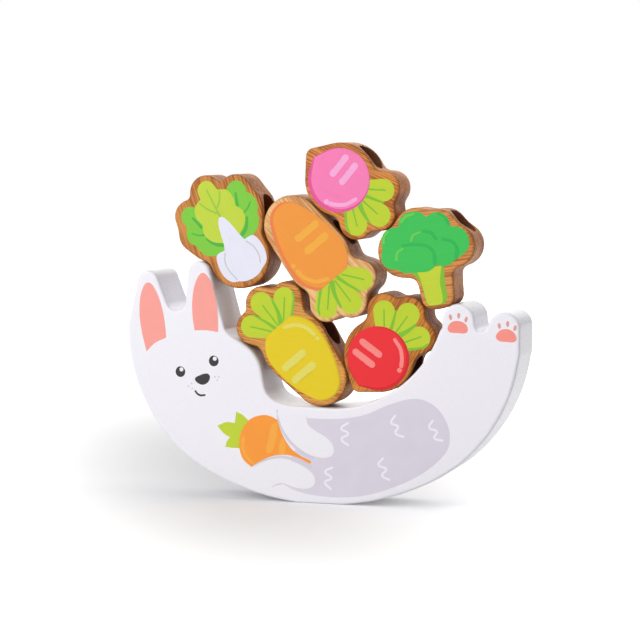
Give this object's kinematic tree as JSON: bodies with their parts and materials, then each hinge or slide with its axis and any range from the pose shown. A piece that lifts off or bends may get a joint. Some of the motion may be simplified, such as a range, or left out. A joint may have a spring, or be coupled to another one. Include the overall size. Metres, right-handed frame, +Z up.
{
  "type": "balance stacking toy",
  "caption": "Wooden balance stacking toy: a rocking rabbit-shaped board whose hollow back cradles loose printed vegetable blocks, each with a lacing bore.",
  "frame": {"origin": "middle of the flat under the rocker, halfway through the rabbit board's thickness", "axes": "+X along the rabbit towards its feet, +Y through the boards away from the printed front, +Z up"},
  "size_m": [0.173, 0.025, 0.1523],
  "materials": {
    "white_paint": "satin white paint over wood",
    "yellow_carrot_wood": "printed face on oiled beech",
    "red_radish_wood": "printed face on oiled beech",
    "bok_choy_wood": "printed face on oiled beech",
    "orange_carrot_wood": "printed face on oiled beech",
    "broccoli_wood": "printed face on oiled beech",
    "pink_radish_wood": "printed face on oiled beech"
  },
  "bodies": {
    "rabbit": {"rabbit_rocker": "white_paint"},
    "yellow_carrot": {"yellow_carrot_block": "yellow_carrot_wood"},
    "red_radish": {"red_radish_block": "red_radish_wood"},
    "bok_choy": {"bok_choy_block": "bok_choy_wood"},
    "orange_carrot": {"orange_carrot_block": "orange_carrot_wood"},
    "broccoli": {"broccoli_block": "broccoli_wood"},
    "pink_radish": {"pink_radish_block": "pink_radish_wood"}
  },
  "joints": [
    {"name": "yellow_carrot_lift", "type": "slide", "parent": "rabbit", "child": "yellow_carrot", "axis": [0, 0, 1], "range_m": [0, 0.06]},
    {"name": "red_radish_lift", "type": "slide", "parent": "yellow_carrot", "child": "red_radish", "axis": [0, 0, 1], "range_m": [0, 0.06]},
    {"name": "bok_choy_lift", "type": "slide", "parent": "red_radish", "child": "bok_choy", "axis": [0, 0, 1], "range_m": [0, 0.06]},
    {"name": "orange_carrot_lift", "type": "slide", "parent": "bok_choy", "child": "orange_carrot", "axis": [0.1736, 0, 0.9848], "range_m": [0, 0.06]},
    {"name": "broccoli_lift", "type": "slide", "parent": "orange_carrot", "child": "broccoli", "axis": [0, 0, 1], "range_m": [0, 0.06]},
    {"name": "pink_radish_lift", "type": "slide", "parent": "broccoli", "child": "pink_radish", "axis": [0, 0, 1], "range_m": [0, 0.06]}
  ]
}
